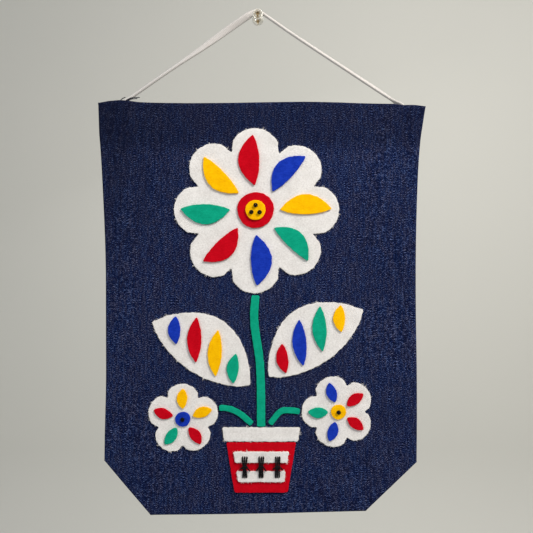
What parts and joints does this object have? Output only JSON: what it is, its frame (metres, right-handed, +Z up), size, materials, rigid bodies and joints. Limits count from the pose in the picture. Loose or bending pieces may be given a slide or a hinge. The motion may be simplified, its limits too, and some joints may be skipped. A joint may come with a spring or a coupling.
{
  "type": "fabric banner with push pin",
  "caption": "Flat denim wall banner with slanted lower corners and a felt flower appliqué, hung by a cotton tape over a clear push pin.",
  "frame": {"origin": "centre of the push pin's flat rear face, which meets the wall", "axes": "+X to the viewer's right across the banner, +Y into the wall, +Z up"},
  "size_m": [0.3222, 0.0294, 0.4984],
  "materials": {
    "denim": "dark unwashed denim, fine twill with light flecks",
    "cotton": "white woven cotton tape",
    "flannel": "off-white brushed flannel, slightly fuzzy",
    "felt_red": "matt red felt",
    "felt_blue": "matt royal blue felt",
    "felt_yellow": "matt yellow felt",
    "felt_green": "matt green felt",
    "yarn": "black twisted yarn",
    "clear_plastic": "clear polished plastic",
    "steel": "drawn steel wire, bright"
  },
  "bodies": {
    "root": {"banner_cloth": "denim", "bloom_left": "flannel", "bloom_left_centre": "felt_blue", "bloom_left_petal_1": "felt_yellow", "bloom_left_petal_2": "felt_red", "bloom_left_petal_3": "felt_green", "bloom_left_petal_4": "felt_red", "bloom_left_petal_5": "felt_yellow", "bloom_right": "flannel", "bloom_right_centre": "felt_yellow", "bloom_right_petal_1": "felt_red", "bloom_right_petal_2": "felt_blue", "bloom_right_petal_3": "felt_green", "bloom_right_petal_4": "felt_blue", "bloom_right_petal_5": "felt_red", "blossom": "flannel", "blossom_centre": "felt_red", "blossom_eye": "felt_yellow", "blossom_strip_1": "felt_red", "blossom_strip_2": "felt_blue", "blossom_strip_3": "felt_yellow", "blossom_strip_4": "felt_green", "blossom_strip_5": "felt_blue", "blossom_strip_6": "felt_red", "blossom_strip_7": "felt_green", "blossom_strip_8": "felt_yellow", "hanging_tape": "cotton", "knot_centre_1": "yarn", "knot_centre_2": "yarn", "knot_centre_3": "yarn", "knot_left": "yarn", "knot_right": "yarn", "leaf_left": "flannel", "leaf_left_strip_1": "felt_green", "leaf_left_strip_2": "felt_yellow", "leaf_left_strip_3": "felt_red", "leaf_left_strip_4": "felt_blue", "leaf_right": "flannel", "leaf_right_strip_1": "felt_red", "leaf_right_strip_2": "felt_blue", "leaf_right_strip_3": "felt_green", "leaf_right_strip_4": "felt_yellow", "pin_body": "clear_plastic", "pin_needle": "steel", "pot": "felt_red", "pot_band_lower": "flannel", "pot_band_upper": "flannel", "pot_rim": "flannel", "pot_tie_1": "yarn", "pot_tie_2": "yarn", "pot_tie_3": "yarn", "stem_left": "felt_green", "stem_main": "felt_green", "stem_right": "felt_green"}
  },
  "joints": []
}
